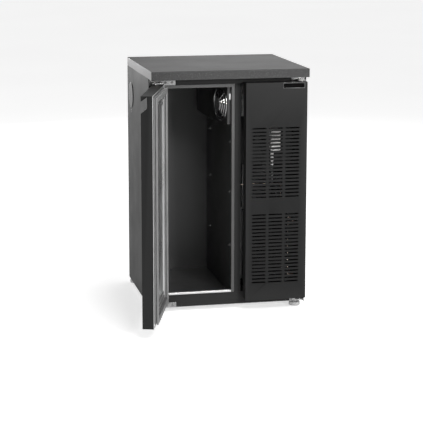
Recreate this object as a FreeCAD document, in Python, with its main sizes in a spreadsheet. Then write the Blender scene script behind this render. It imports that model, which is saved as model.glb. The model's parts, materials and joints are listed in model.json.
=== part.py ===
"""Under-counter keg fridge: an insulated cold cabinet beside a louvred machine compartment.

Parametric document in millimetres.  The numbers that drive it are cells of one spreadsheet;
every place and length below is a formula of those cells.  Formulas are written against the
cabinet datum: x from the left side panel, y from the front edge of the worktop towards the
back, z up from the floor.  The frame of the finished model has its origin on the floor, in the
middle of the footprint with the door standing open.
"""
import FreeCAD, Part
import math
import os
import re
import Sketcher

SIZES = {
    # Whole cabinet.
    "cabinet_width": 550,
    "cabinet_depth": 520,
    "cabinet_height": 850,
    "foot_height": 18,
    "worktop_thickness": 30,
    "worktop_overhang": 56,
    "worktop_edge_radius": 3,
    "origin_x": 234.6,
    "origin_y": 120.6,
    # Sheet metal and the face frame around the cold opening.
    "gauge": 1.2,
    "liner_gauge": 1,
    "frame_depth": 12,
    "strip_width": 11,
    "cavity_left": 36,
    "cavity_right": 289,
    "cavity_back": 475,
    "cavity_floor": 50,
    "cavity_top": 786,
    "sill_bottom": 62,
    "sill_top": 70,
    "partition_right": 322,
    "back_face": 518,
    "vent_x": 332,
    "vent_z": 100,
    "vent_length": 70,
    "vent_height": 6,
    "vent_pitch_x": 74,
    "vent_pitch_z": 20,
    "inlet_left": 480,
    "inlet_right": 510,
    "inlet_bottom": 420,
    "inlet_top": 442,
    "inlet_reach": 22,
    # Both leaves.
    "leaf_face": 4,
    "leaf_inside": 41,
    "leaf_bottom": 41,
    "leaf_top": 804,
    "leaf_gauge": 1.5,
    "pivot_y": 17,
    # Door.
    "door_left": 3,
    "door_right": 322,
    "door_pivot_x": 20,
    "door_swing": 107,
    "grip_depth": 20,
    "grip_lip": 17.5,
    "grip_mouth": 38,
    "grip_slope": 16,
    "grip_start": 50,
    "seal_width": 16,
    "seal_left": 20.3,
    "seal_right": 312,
    "seal_bottom": 54,
    "seal_top": 796,
    "seal_height": 14.7,
    # Service panel.
    "panel_left": 328,
    "panel_right": 544,
    "panel_pivot_x": 527,
    "panel_depth": 38,
    "slot_length": 49,
    "slot_height": 5,
    "slot_first_x": 350.5,
    "slot_pitch_x": 58.5,
    "slot_pitch_z": 12.6,
    "upper_slots_z": 407,
    "lower_slots_z": 105,
    "badge_left": 458,
    "badge_right": 534,
    "badge_bottom": 784,
    "badge_height": 17.5,
    "badge_proud": 1.4,
    # Hinges.
    "pin_radius": 4,
    "pin_reach": 24,
    "pin_clearance": 0.05,
    "bush_radius": 7,
    "bush_length": 30,
    "bracket_gauge": 3,
    # Evaporator in the top right corner of the cavity.
    "cover_front": 70,
    "cover_back": 250,
    "cover_front_x": 277,
    "cover_back_x": 248.5,
    "cover_bottom": 655,
    "cover_top": 785,
    "cold_fan_y": 135,
    "cold_fan_z": 720,
    "cold_fan_radius": 53,
    "cover_end": 450,
    "coil_bottom": 690,
    "pipe_radius": 4,
    "capillary_radius": 1.5,
    "capillary_y": 288,
    "suction_y": 330,
    "suction_z": 740,
    "drain_radius": 5,
    "drain_x": 272,
    "drain_y": 370,
    "drain_z": 634,
    "lamp_bottom": 741,
    "lamp_top": 762,
    # Machine compartment.
    "condenser_left": 336,
    "condenser_right": 496,
    "condenser_front": 72,
    "condenser_back": 112,
    "condenser_bottom": 98,
    "condenser_top": 348,
    "warm_fan_radius": 74,
    "warm_fan_z": 223,
    "compressor_x": 435,
    "compressor_y": 330,
    "compressor_radius": 74,
    "compressor_bottom": 37,
    "compressor_top": 205,
    "hot_tray_bottom": 205,
    "relay_bottom": 62,
    "relay_top": 112,
    "gas_z": 150,
    "coil_inlet_z": 298,
    "liquid_z": 101,
    "riser_x": 342,
    "loop_x": 350,
    "loop_z": 400,
    "drier_front": 190,
    "drier_length": 82,
    "plate_right": 530,
    "plate_y": 150,
    "plate_bottom": 500,
    "plate_top": 670,
    "control_x": 441,
    "control_z": 551,
    "control_width": 34,
    "control_depth": 50,
    "control_height": 78,
    "knob_x": 400,
    "knob_z": 590,
    "knob_radius": 19,
    "knob_depth": 20,
    "loom_z": 430,
    "loom_y": 240,
    # Left side: blanked port for drink lines, and feet.
    "port_y": 432,
    "port_z": 720,
    "port_radius": 47,
    "plug_radius": 42,
    "plug_depth": 20,
    "foot_front_inset": 28,
    "foot_back_inset": 20,
    "foot_front_y": 67,
    "foot_back_y": 498,
    "foot_radius": 20,
    "stud_radius": 5,
    "stud_top": 42,
    "socket_radius": 9,
}

PLACES = {
    "body_top": "cabinet_height - worktop_thickness",
    "front": "worktop_overhang",
    "frame_back": "front + frame_depth",
    "inner_left": "gauge",
    "inner_right": "cabinet_width - gauge",
    "inner_back": "back_face - gauge",
    "pan_top": "foot_height + gauge",
    "strip_left": "cavity_left - strip_width",
    "strip_right": "cavity_right + strip_width",
    "strip_top": "cavity_top + strip_width",
    "grip_bottom": "leaf_top - grip_lip - grip_mouth",
    "panel_back": "leaf_face + panel_depth",
    "socket_height": "stud_top - pan_top + 5",
    "motor_face": "condenser_back + 88",
    "pipe_x": "condenser_right + 31",
    "shell_radius": "compressor_radius - 3",
    "warm_fan_x": "(condenser_left + condenser_right) / 2",
    "foot_front_right": "cabinet_width - foot_front_inset",
    "foot_back_right": "cabinet_width - foot_back_inset",
}

ACROSS_INSIDE = ("inner_left", "inner_right")
FOOT_PLACES = [(side, end, x, f"foot_{end}_y")
               for end in ("front", "back")
               for side, x in (("left", f"foot_{end}_inset"), ("right", f"foot_{end}_right"))]
CATCH_SCREWS = ((79, 117), (405, 443), (723, 761))
CLIP_HEIGHTS = (229, 419, 594)
CLIP_DEPTHS = (72, 400)

doc = FreeCAD.newDocument("UnderCounterFridge")
sheet = doc.addObject("Spreadsheet::Sheet", "Sheet")
for row, (alias, number) in enumerate(SIZES.items(), start=1):
    sheet.set(f"A{row}", alias)
    sheet.set(f"B{row}", str(number))
    sheet.setAlias(f"B{row}", alias)
doc.recompute()

nodes = []


# ---------------------------------------------------------------- formulas and places

def formula(text):
    """Turn a formula in plain names into one of spreadsheet cells."""
    def cell(match):
        word = match.group()
        if word in PLACES:
            return "(" + formula(PLACES[word]) + ")"
        return "Sheet." + word if word in SIZES else word
    return re.sub(r"[a-z][a-z_]*", cell, str(text))


def value(text):
    """The number that a formula gives now."""
    return float(sheet.evalExpression(formula(text)))


def bind(item, **paths):
    """Bind properties to formulas; a double underscore stands for a dot in the path."""
    for path, text in paths.items():
        item.setExpression(path.replace("__", "."), formula(text))


def place(item, x, y, z):
    """Put an object's own origin at a point of the cabinet datum."""
    bind(item, Placement__Base__x=f"({x}) - origin_x", Placement__Base__y=f"({y}) - origin_y",
         Placement__Base__z=z)


def turned(item, axis, degrees):
    """Turn an object about its own origin before it is placed."""
    item.Placement.Rotation = FreeCAD.Rotation(FreeCAD.Vector(*axis), degrees)
    return item


def keep(item, label):
    """Name a finished sub-part and list it for export."""
    item.Label = label
    nodes.append(item)
    return item


# ---------------------------------------------------------------- primitives and booleans

def block(name, x, y, z):
    """Rectangular solid between two planes on each axis."""
    item = doc.addObject("Part::Box", name)
    bind(item, Length=f"({x[1]}) - ({x[0]})", Width=f"({y[1]}) - ({y[0]})",
         Height=f"({z[1]}) - ({z[0]})")
    place(item, x[0], y[0], z[0])
    return item


def cylinder(name, at, axis, radius, length):
    """Round bar from a point along +x, +y or +z."""
    item = doc.addObject("Part::Cylinder", name)
    bind(item, Radius=radius, Height=length)
    turned(item, {"x": (0, 1, 0), "y": (1, 0, 0), "z": (0, 0, 1)}[axis], {"x": 90, "y": -90, "z": 0}[axis])
    place(item, *at)
    return item


def cut(name, base, *tools):
    """Base less its tools."""
    tool = tools[0]
    if len(tools) > 1:
        tool = doc.addObject("Part::MultiFuse", name + "_tools")
        tool.Shapes = list(tools)
    item = doc.addObject("Part::Cut", name)
    item.Base = base
    item.Tool = tool
    return item


def fuse(name, *pieces):
    """Pieces that touch, joined into one."""
    item = doc.addObject("Part::MultiFuse", name)
    item.Shapes = list(pieces)
    return item


def group(name, pieces):
    """Separate identical solids that share one node."""
    item = doc.addObject("Part::Compound", name)
    item.Links = list(pieces)
    return item


def channel(name, x, y, z):
    """Folded steel member: a box of sheet, open at the back."""
    outside = block(name + "_outside", x, y, z)
    inside = block(name + "_inside", (f"{x[0]} + gauge", f"{x[1]} - gauge"), (f"{y[0]} + gauge", y[1]),
                   (f"{z[0]} + gauge", f"{z[1]} - gauge"))
    return cut(name, outside, inside)


def tray(name, x, y, z):
    """Shallow pan, open at the top."""
    outside = block(name + "_outside", x, y, z)
    inside = block(name + "_inside", (f"{x[0]} + gauge", f"{x[1]} - gauge"),
                   (f"{y[0]} + gauge", f"{y[1]} - gauge"), (f"{z[0]} + gauge", z[1]))
    return cut(name, outside, inside)


def pipe(name, points, radius, bend):
    """Round tube along straight runs joined by tangent arcs; points are in the cabinet datum."""
    shift = FreeCAD.Vector(value("origin_x"), value("origin_y"), 0)
    corners = [FreeCAD.Vector(*[value(number) for number in point]) - shift for point in points]
    edges = []
    start = corners[0]
    for before, corner, after in zip(corners, corners[1:], corners[2:]):
        towards = (before - corner).normalize()
        onwards = (after - corner).normalize()
        setback = bend / math.tan(towards.getAngle(onwards) / 2)
        arc_start = corner + towards * setback
        arc_end = corner + onwards * setback
        middle = (towards + onwards).normalize()
        reach = bend / math.sin(towards.getAngle(onwards) / 2) - bend
        edges.append(Part.LineSegment(start, arc_start).toShape())
        edges.append(Part.Arc(arc_start, corner + middle * reach, arc_end).toShape())
        start = arc_end
    edges.append(Part.LineSegment(start, corners[-1]).toShape())
    path = Part.Wire(edges)
    section = Part.Wire(Part.makeCircle(value(radius), corners[0], corners[1] - corners[0]))
    item = doc.addObject("Part::Feature", name)
    item.Shape = path.makePipeShell([section], True, False)
    return item


# ---------------------------------------------------------------- bodies made of sketches

PLANES = {"z": "XY_Plane", "y": "XZ_Plane", "x": "YZ_Plane"}


def new_body(name, x="0", y="0", z="0"):
    """Empty PartDesign body whose own origin lies at a point of the cabinet datum."""
    item = doc.addObject("PartDesign::Body", name)
    place(item, x, y, z)
    return item


def sketch(body, normal, start):
    """Sketch square to an axis, at a distance along it from the body's origin."""
    item = body.newObject("Sketcher::SketchObject", body.Name + "_sketch")
    plane = next(part for part in body.Origin.OriginFeatures if part.Role == PLANES[normal])
    item.AttachmentSupport = (plane, "")
    item.MapMode = "FlatFace"
    bind(item, AttachmentOffset__Base__z=f"-({start})" if normal == "y" else start)
    return item


def fix_point(item, edge, end, x, y):
    """Hold one point of a sketch at two formulas."""
    for kind, text in (("DistanceX", x), ("DistanceY", y)):
        number = item.addConstraint(Sketcher.Constraint(kind, -1, 1, edge, end, value(text)))
        label = f"{kind}{edge}_{end}"
        item.renameConstraint(number, label)
        item.setExpression("Constraints." + label, formula(text))


def outline(item, corners):
    """Closed polygon through corners given as pairs of formulas."""
    first = item.GeometryCount
    count = len(corners)
    spots = [FreeCAD.Vector(value(x), value(y), 0) for x, y in corners]
    for index in range(count):
        item.addGeometry(Part.LineSegment(spots[index], spots[(index + 1) % count]), False)
    for index in range(count):
        after = first + (index + 1) % count
        item.addConstraint(Sketcher.Constraint("Coincident", first + index, 2, after, 1))
        fix_point(item, first + index, 1, *corners[index])


def rectangle(item, x, y):
    """Closed rectangle between two formulas each way."""
    outline(item, ((x[0], y[0]), (x[1], y[0]), (x[1], y[1]), (x[0], y[1])))


def circle(item, x, y, radius):
    """Full circle held by its centre and radius."""
    edge = item.GeometryCount
    centre = FreeCAD.Vector(value(x), value(y), 0)
    item.addGeometry(Part.Circle(centre, FreeCAD.Vector(0, 0, 1), value(radius)), False)
    fix_point(item, edge, 3, x, y)
    number = item.addConstraint(Sketcher.Constraint("Radius", edge, value(radius)))
    item.renameConstraint(number, f"radius{edge}")
    item.setExpression(f"Constraints.radius{edge}", formula(radius))


def obround(item, x, y, length, height):
    """Slot with round ends; x and y are its left end and its middle height."""
    radius = f"({height}) / 2"
    left = FreeCAD.Vector(value(f"{x} + {radius}"), value(y), 0)
    right = FreeCAD.Vector(value(f"{x} + {length} - {radius}"), value(y), 0)
    up = FreeCAD.Vector(0, value(radius), 0)
    edge = item.GeometryCount
    axis = FreeCAD.Vector(0, 0, 1)
    quarter = math.pi / 2
    item.addGeometry(Part.ArcOfCircle(Part.Circle(left, axis, up.y), quarter, 3 * quarter), False)
    item.addGeometry(Part.ArcOfCircle(Part.Circle(right, axis, up.y), -quarter, quarter), False)
    item.addGeometry(Part.LineSegment(left + up, right + up), False)
    item.addGeometry(Part.LineSegment(left - up, right - up), False)
    for arc, arc_end, line, line_end in ((0, 1, 2, 1), (1, 2, 2, 2), (0, 2, 3, 1), (1, 1, 3, 2)):
        item.addConstraint(Sketcher.Constraint("Tangent", edge + arc, arc_end, edge + line, line_end))
    fix_point(item, edge, 3, f"{x} + {radius}", y)
    fix_point(item, edge + 1, 3, f"{x} + {length} - {radius}", y)
    number = item.addConstraint(Sketcher.Constraint("Radius", edge, up.y))
    item.renameConstraint(number, f"radius{edge}")
    item.setExpression(f"Constraints.radius{edge}", formula(radius))


def pad(body, profile, length, normal):
    """Extrude a sketch towards the positive end of its axis."""
    item = body.newObject("PartDesign::Pad", body.Name + "_pad")
    item.Profile = profile
    item.Reversed = normal == "y"
    bind(item, Length=length)
    return item


def pocket(body, profile, length, normal):
    """Cut a sketch towards the positive end of its axis, and prove that it cuts."""
    doc.recompute()
    before = body.Shape.Volume
    item = body.newObject("PartDesign::Pocket", body.Name + "_pocket")
    item.Profile = profile
    item.Reversed = normal != "y"
    bind(item, Length=length)
    doc.recompute()
    if not item.Shape.Volume < before:
        raise ValueError(f"{item.Name} cuts nothing")
    return item


def revolve(body, profile):
    """Turn a sketch on the plane square to y about the body's vertical axis."""
    item = body.newObject("PartDesign::Revolution", body.Name + "_revolution")
    item.Profile = profile
    item.ReferenceAxis = (profile, ["V_Axis"])
    item.Angle = 360
    return item


def fillet(body, base, pick, radius):
    """Round the edges of a feature that the pick function chooses."""
    doc.recompute()
    names = [f"Edge{number}" for number, edge in enumerate(base.Shape.Edges, start=1) if pick(edge)]
    item = body.newObject("PartDesign::Fillet", body.Name + "_fillet")
    item.Base = (base, names)
    bind(item, Radius=radius)
    return item


def pattern(body, feature, steps):
    """Repeat a feature in rows: steps is a list of (axis, pitch, count)."""
    rows = []
    for normal, pitch, count in steps:
        row_pattern = doc.addObject("PartDesign::LinearPattern", body.Name + "_row")
        axis_role = {"x": "X_Axis", "y": "Y_Axis", "z": "Z_Axis"}[normal]
        axis = next(part for part in body.Origin.OriginFeatures if part.Role == axis_role)
        row_pattern.Direction = (axis, [""])
        row_pattern.Occurrences = count
        row_pattern.Mode = "Extent"
        bind(row_pattern, Length=f"({pitch}) * {count - 1}")
        rows.append(row_pattern)
    item = body.newObject("PartDesign::MultiTransform", body.Name + "_rows")
    item.Originals = [feature]
    item.Transformations = rows
    for row_pattern in rows:
        body.addObject(row_pattern)
    body.Tip = item
    return item


def rotor(name, blades, radius, hub_radius, depth):
    """Fan wheel about its own z axis: a hub with swept, pitched blades."""
    hub = Part.makeCylinder(hub_radius, depth)
    pitch = FreeCAD.Rotation(FreeCAD.Vector(1, 0, 0), 24)
    chord = 2 * radius * math.sin(math.pi / blades) * 0.62
    thickness = 1.6
    wheel = hub
    for blade_number in range(blades):
        blade = Part.makeBox(radius, chord, thickness, FreeCAD.Vector(0, -chord / 2, -thickness / 2))
        blade.Placement = FreeCAD.Placement(FreeCAD.Vector(0, 0, depth / 2), pitch)
        blade.rotate(FreeCAD.Vector(), FreeCAD.Vector(0, 0, 1), 360 * blade_number / blades)
        wheel = wheel.fuse(blade)
    sweep = Part.makeCylinder(radius, depth)
    item = doc.addObject("Part::Feature", name)
    item.Shape = wheel.common(sweep).removeSplitter()
    return item


# ---------------------------------------------------------------- cabinet shell

def worktop():
    """Folded steel skin with a rounded front top edge, and the board that it is wrapped round."""
    body = new_body("worktop_body", z="body_top")
    face = sketch(body, "z", "0")
    rectangle(face, ("0", "cabinet_width"), ("0", "cabinet_depth"))
    slab = pad(body, face, "worktop_thickness", "z")
    top = value("worktop_thickness")
    fillet(body, slab, lambda edge: edge.BoundBox.ZMin > top - 0.01 and edge.BoundBox.YMax < 0.01,
           "worktop_edge_radius")
    under = sketch(body, "z", "0")
    rectangle(under, ("gauge", "cabinet_width - gauge"), ("3 * gauge", "cabinet_depth - gauge"))
    pocket(body, under, "worktop_thickness - gauge", "z")
    keep(body, "worktop")
    keep(block("board", ("gauge", "cabinet_width - gauge"), ("3 * gauge", "cabinet_depth - gauge"),
               ("body_top", "cabinet_height - gauge")), "worktop_board")


def side_panels():
    """Left side with its drink-line hole, and the right side, which reaches past the panel's hinges."""
    left = block("left_sheet", ("0", "gauge"), ("front", "cabinet_depth"), ("foot_height", "body_top"))
    port = cylinder("left_port", ("-1", "port_y", "port_z"), "x", "plug_radius", "gauge + 2")
    keep(cut("left_side", left, port), "left_side_panel")
    right = block("right_side", ("inner_right", "cabinet_width"), ("panel_back + 1", "cabinet_depth"),
                  ("foot_height", "body_top"))
    keep(right, "right_side_panel")


def back_panel():
    """Back sheet with cooling slots behind the compressor and a hole for the mains inlet."""
    body = new_body("back_sheet", x="0", y="inner_back", z="0")
    face = sketch(body, "y", "0")
    rectangle(face, ACROSS_INSIDE, ("foot_height", "body_top"))
    pad(body, face, "gauge", "y")
    slot = sketch(body, "y", "-1")
    obround(slot, "vent_x", "vent_z", "vent_length", "vent_height")
    cutter = pocket(body, slot, "gauge + 2", "y")
    pattern(body, cutter, (("x", "vent_pitch_x", 2), ("z", "vent_pitch_z", 9)))
    opening = block("inlet_hole", ("inlet_left", "inlet_right"), ("inner_back - 1", "back_face + 1"),
                    ("inlet_bottom", "inlet_top"))
    keep(cut("back_sheet_cut", body, opening), "back_panel")


def base_pan():
    """Base sheet with four welded sockets, bored for the studs of the feet."""
    pan = block("base_sheet", ACROSS_INSIDE, ("front", "inner_back"), ("foot_height", "pan_top"))
    sockets = []
    bores = []
    for side, end, x, y in FOOT_PLACES:
        sockets.append(cylinder(f"socket_{side}_{end}", (x, y, "pan_top"), "z", "socket_radius",
                                "socket_height"))
        bores.append(cylinder(f"socket_bore_{side}_{end}", (x, y, "foot_height - 1"), "z",
                              "stud_radius + pin_clearance", "stud_top - foot_height + 4"))
    keep(cut("base_cut", fuse("base_welded", pan, *sockets), *bores), "base_pan")


def face_frame():
    """Folded members across the front, the breaker strip round the opening and the bright sill."""
    depth = ("front", "frame_back")
    upright = ("sill_bottom", "strip_top")
    keep(channel("header_member", ACROSS_INSIDE, depth, ("strip_top", "body_top")), "front_header")
    sill = channel("sill_member", ACROSS_INSIDE, depth, ("pan_top", "sill_bottom"))
    notches = [cylinder(f"sill_notch_{side}", (x, y, "pan_top - 1"), "z", "socket_radius + 0.3", "4")
               for side, end, x, y in FOOT_PLACES if end == "front"]
    keep(cut("sill_notched", sill, *notches), "front_sill")
    keep(channel("left_member", ("inner_left", "strip_left"), depth, upright), "left_stile")
    keep(channel("mullion_member", ("strip_right", "partition_right"), depth, upright), "mullion")
    ring = block("strip_outside", ("strip_left", "strip_right"), depth, upright)
    mouth = block("strip_inside", ("cavity_left", "cavity_right"), ("front - 1", "frame_back + 1"),
                  ("sill_bottom - 1", "cavity_top"))
    keep(cut("strip_cut", ring, mouth), "breaker_strip")
    keep(block("sill_bar", ("cavity_left", "cavity_right"), depth, ("sill_bottom", "sill_top")),
         "sill_strip")


def cold_walls():
    """Liner of five sheets, the foam behind it and the partition to the machine compartment."""
    outside_left = "cavity_left - liner_gauge"
    outside_right = "cavity_right + liner_gauge"
    outside_floor = "cavity_floor - liner_gauge"
    outside_top = "cavity_top + liner_gauge"
    outside_back = "cavity_back + liner_gauge"
    depth = ("frame_back", "cavity_back")
    across = ("cavity_left", "cavity_right")
    height = (outside_floor, outside_top)
    passages = []
    for layer in ("liner", "foam", "wall"):
        for use, y, z, radius in (("suction", "suction_y", "suction_z", "pipe_radius + 0.5"),
                                  ("capillary", "capillary_y", "suction_z", "capillary_radius + 0.5"),
                                  ("drain", "drain_y", "drain_z", "drain_radius + 0.5")):
            passages.append(cylinder(f"{layer}_{use}_hole", ("cavity_right - 1", y, z), "x", radius,
                                     "partition_right - cavity_right + 2"))
    keep(block("liner_left_sheet", (outside_left, "cavity_left"), depth, height), "liner_left")
    right = block("liner_right_sheet", ("cavity_right", outside_right), depth, height)
    keep(cut("liner_right_cut", right, *passages[:3]), "liner_right")
    floor = block("liner_floor_sheet", across, depth, (outside_floor, "cavity_floor"))
    upstand = block("liner_upstand", across, ("frame_back", "frame_back + liner_gauge"),
                    (outside_floor, "sill_top"))
    keep(fuse("liner_floor_folded", floor, upstand), "liner_floor")
    keep(block("liner_top_sheet", across, depth, ("cavity_top", outside_top)), "liner_ceiling")
    keep(block("liner_back_sheet", (outside_left, outside_right), ("cavity_back", outside_back), height),
         "liner_back")
    outer = block("foam_outside", ("inner_left", "partition_right - gauge"), ("frame_back", "inner_back"),
                  ("pan_top", "body_top"))
    inner = block("foam_inside", (outside_left, outside_right), ("frame_back - 1", outside_back), height)
    plug = cylinder("foam_port", ("0", "port_y", "port_z"), "x", "plug_radius", "plug_depth + gauge")
    sockets = [cylinder(f"foam_socket_{end}", (x, y, "pan_top"), "z", "socket_radius", "socket_height")
               for side, end, x, y in FOOT_PLACES if side == "left"]
    keep(cut("foam_cut", outer, inner, plug, *sockets, *passages[3:6]), "insulation_foam")
    wall = block("partition_sheet", ("partition_right - gauge", "partition_right"),
                 ("frame_back", "inner_back"), ("pan_top", "body_top"))
    keep(cut("partition_cut", wall, *passages[6:]), "partition_panel")


def line_port():
    """Blanking cap pushed into the drink-line hole of the left side."""
    body = new_body("port_body", x="0", y="port_y", z="port_z")
    profile = sketch(body, "y", "0")
    outline(profile, (("0", "-2.5"), ("port_radius - 2", "-2.5"), ("port_radius", "-1"),
                      ("port_radius", "0"), ("plug_radius", "0"), ("plug_radius", "plug_depth"),
                      ("plug_radius - 4", "plug_depth"), ("plug_radius - 4", "2"), ("0", "2")))
    revolve(body, profile)
    turned(body, (0, 1, 0), 90)
    place(body, "0", "port_y", "port_z")
    keep(body, "line_port_cap")


def shelf_clips():
    """Small catches on both walls that would carry a shelf."""
    clips = []
    sides = {"left": ("cavity_left", "cavity_left + 5"), "right": ("cavity_right - 5", "cavity_right")}
    for side, across in sides.items():
        for height in CLIP_HEIGHTS:
            for depth in CLIP_DEPTHS:
                clips.append(block(f"clip_{side}_{height}_{depth}", across, (depth, f"{depth} + 10"),
                                   (height - 3, height + 3)))
    keep(group("clips", clips), "shelf_clips")


# ---------------------------------------------------------------- evaporator

COVER_TILT = math.degrees(math.atan2(SIZES["cover_front_x"] - SIZES["cover_back_x"],
                                     SIZES["cover_back"] - SIZES["cover_front"]))
COVER_SLOPE = "(cover_front_x - cover_back_x) / (cover_back - cover_front)"
COLD_FAN_X = f"cover_front_x - {COVER_SLOPE} * (cold_fan_y - cover_front)"


def face_cold_fan(item):
    """Point an object's z axis out of the cover's slanting face, from the centre of the fan."""
    upright = FreeCAD.Rotation(FreeCAD.Vector(0, 1, 0), -90)
    slant = FreeCAD.Rotation(FreeCAD.Vector(0, 0, 1), COVER_TILT)
    item.Placement.Rotation = slant * upright
    place(item, COLD_FAN_X, "cold_fan_y", "cold_fan_z")
    return item


def disc(name, radius, low, high):
    """Round solid about the cold fan's axis, between two distances from the cover's face."""
    item = doc.addObject("Part::Cylinder", name)
    bind(item, Radius=radius, Height=f"({high}) - ({low})")
    face_cold_fan(item)
    lift = item.Placement.Rotation.multVec(FreeCAD.Vector(0, 0, low))
    place(item, f"{COLD_FAN_X} + ({lift.x})", f"cold_fan_y + ({lift.y})", "cold_fan_z")
    return item


def evaporator_cover():
    """Sheet cover on the right wall: slanting front part with the fan's mouth, then a straight part."""
    body = new_body("cover_body")
    face = sketch(body, "z", "cover_bottom")
    outline(face, (("cover_front_x", "cover_front"), ("cavity_right", "cover_front"),
                   ("cavity_right", "cover_end"), ("cover_back_x", "cover_end"),
                   ("cover_back_x", "cover_back")))
    pad(body, face, "cover_top - cover_bottom", "z")
    hollow = sketch(body, "z", "cover_bottom + gauge")
    outline(hollow, (("cover_front_x + gauge", "cover_front + gauge"),
                     ("cavity_right", "cover_front + gauge"), ("cavity_right", "cover_end - gauge"),
                     ("cover_back_x + gauge", "cover_end - gauge"), ("cover_back_x + gauge", "cover_back")))
    pocket(body, hollow, "cover_top - cover_bottom - 2 * gauge", "z")
    mouth = disc("cover_mouth", "cold_fan_radius + 1", -4, 4)
    inlet = block("cover_inlet", ("cover_back_x + 6", "cavity_right - 4"),
                  ("cover_end - 3", "cover_end + 1"), ("coil_bottom", "cover_top - 8"))
    drain = cylinder("cover_drain", ("drain_x", "drain_y", "cover_bottom - 1"), "z", "drain_radius + 0.5",
                     "gauge + 2")
    keep(cut("cover_cut", body, mouth, inlet, drain), "evaporator_cover")


def cold_fan():
    """Slim fan behind the cover's mouth: ring with three arms and a motor, wheel, and wire guard."""
    ring = cut("ring_cut", disc("ring_outside", "cold_fan_radius + 4", -12, -2),
               disc("ring_inside", "cold_fan_radius + 1.5", -13, -1))
    arms = []
    for number in range(3):
        arm = doc.addObject("Part::Box", f"ring_arm_{number}")
        bind(arm, Length="cold_fan_radius + 2", Width="6", Height="1.6")
        face_cold_fan(arm)
        spin = FreeCAD.Rotation(FreeCAD.Vector(0, 0, 1), 120 * number)
        arm.Placement.Rotation = arm.Placement.Rotation * spin
        lift = arm.Placement.Rotation.multVec(FreeCAD.Vector(0, -3, -12))
        place(arm, f"{COLD_FAN_X} + ({lift.x})", f"cold_fan_y + ({lift.y})", f"cold_fan_z + ({lift.z})")
        arms.append(arm)
    motor = disc("ring_motor", "18", -16, -10.4)
    keep(fuse("ring_frame", ring, motor, *arms), "evaporator_fan_frame")

    wheel = rotor("cold_wheel", 7, value("cold_fan_radius"), 19, 7.5)
    lift = face_cold_fan(wheel).Placement.Rotation.multVec(FreeCAD.Vector(0, 0, -9.9))
    place(wheel, f"{COLD_FAN_X} + ({lift.x})", f"cold_fan_y + ({lift.y})", "cold_fan_z")
    keep(wheel, "evaporator_fan_wheel")

    wire = 1.3
    rings = []
    for radius, height in ((59, 1.4), (48, 4.6), (37, 7.8), (26, 11)):
        hoop = doc.addObject("Part::Torus", f"guard_ring_{radius}")
        bind(hoop, Radius1=radius, Radius2=wire)
        lift = face_cold_fan(hoop).Placement.Rotation.multVec(FreeCAD.Vector(0, 0, height))
        place(hoop, f"{COLD_FAN_X} + ({lift.x})", f"cold_fan_y + ({lift.y})", "cold_fan_z")
        rings.append(hoop)
    slope = math.degrees(math.atan2(11 - 1.4, 59 - 26))
    for number in range(4):
        spoke = doc.addObject("Part::Cylinder", f"guard_spoke_{number}")
        bind(spoke, Radius=wire, Height=40)
        face_cold_fan(spoke)
        lean = FreeCAD.Rotation(FreeCAD.Vector(0, 1, 0), slope - 90)
        spin = FreeCAD.Rotation(FreeCAD.Vector(0, 0, 1), 90 * number + 45)
        outward = spoke.Placement.Rotation * spin
        spoke.Placement.Rotation = outward * lean
        lift = outward.multVec(FreeCAD.Vector(59, 0, 1.4))
        place(spoke, f"{COLD_FAN_X} + ({lift.x})", f"cold_fan_y + ({lift.y})", f"cold_fan_z + ({lift.z})")
        rings.append(spoke)
    rings.append(disc("guard_boss", "22", 10.6, 13.2))
    keep(fuse("guard_wires", *rings), "evaporator_fan_guard")


def evaporator_parts():
    """Finned coil behind the fan, its drip tray and drain, and the lens of the lamp."""
    coil_depth = ("cover_back + 10", "cover_end - 8")
    keep(block("cold_coil", ("cover_back_x + 5", "cavity_right - 3"), coil_depth,
               ("coil_bottom", "cover_top - 6")), "evaporator_coil")
    pan = tray("cold_tray", ("cover_back_x + 2.5", "cavity_right - 1"), ("cover_back + 6", "cover_end - 4"),
               ("coil_bottom - 18", "coil_bottom - 2"))
    outlet = cylinder("tray_outlet", ("drain_x", "drain_y", "coil_bottom - 19"), "z", "drain_radius - 1",
                      "gauge + 2")
    keep(cut("cold_tray_cut", pan, outlet), "drip_tray")
    keep(pipe("drain_pipe", (("drain_x", "drain_y", "coil_bottom - 18"), ("drain_x", "drain_y", "drain_z"),
                             ("compressor_x - 40", "drain_y", "drain_z"),
                             ("compressor_x - 40", "drain_y", "hot_tray_bottom + 26")),
              "drain_radius", 12), "drain_tube")
    keep(block("lamp_bar", ("cavity_right - 7", "cavity_right - 1"), ("cover_front - 4", "cover_front"),
               ("lamp_bottom", "lamp_top")), "interior_lamp_lens")


# ---------------------------------------------------------------- machine compartment

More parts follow.
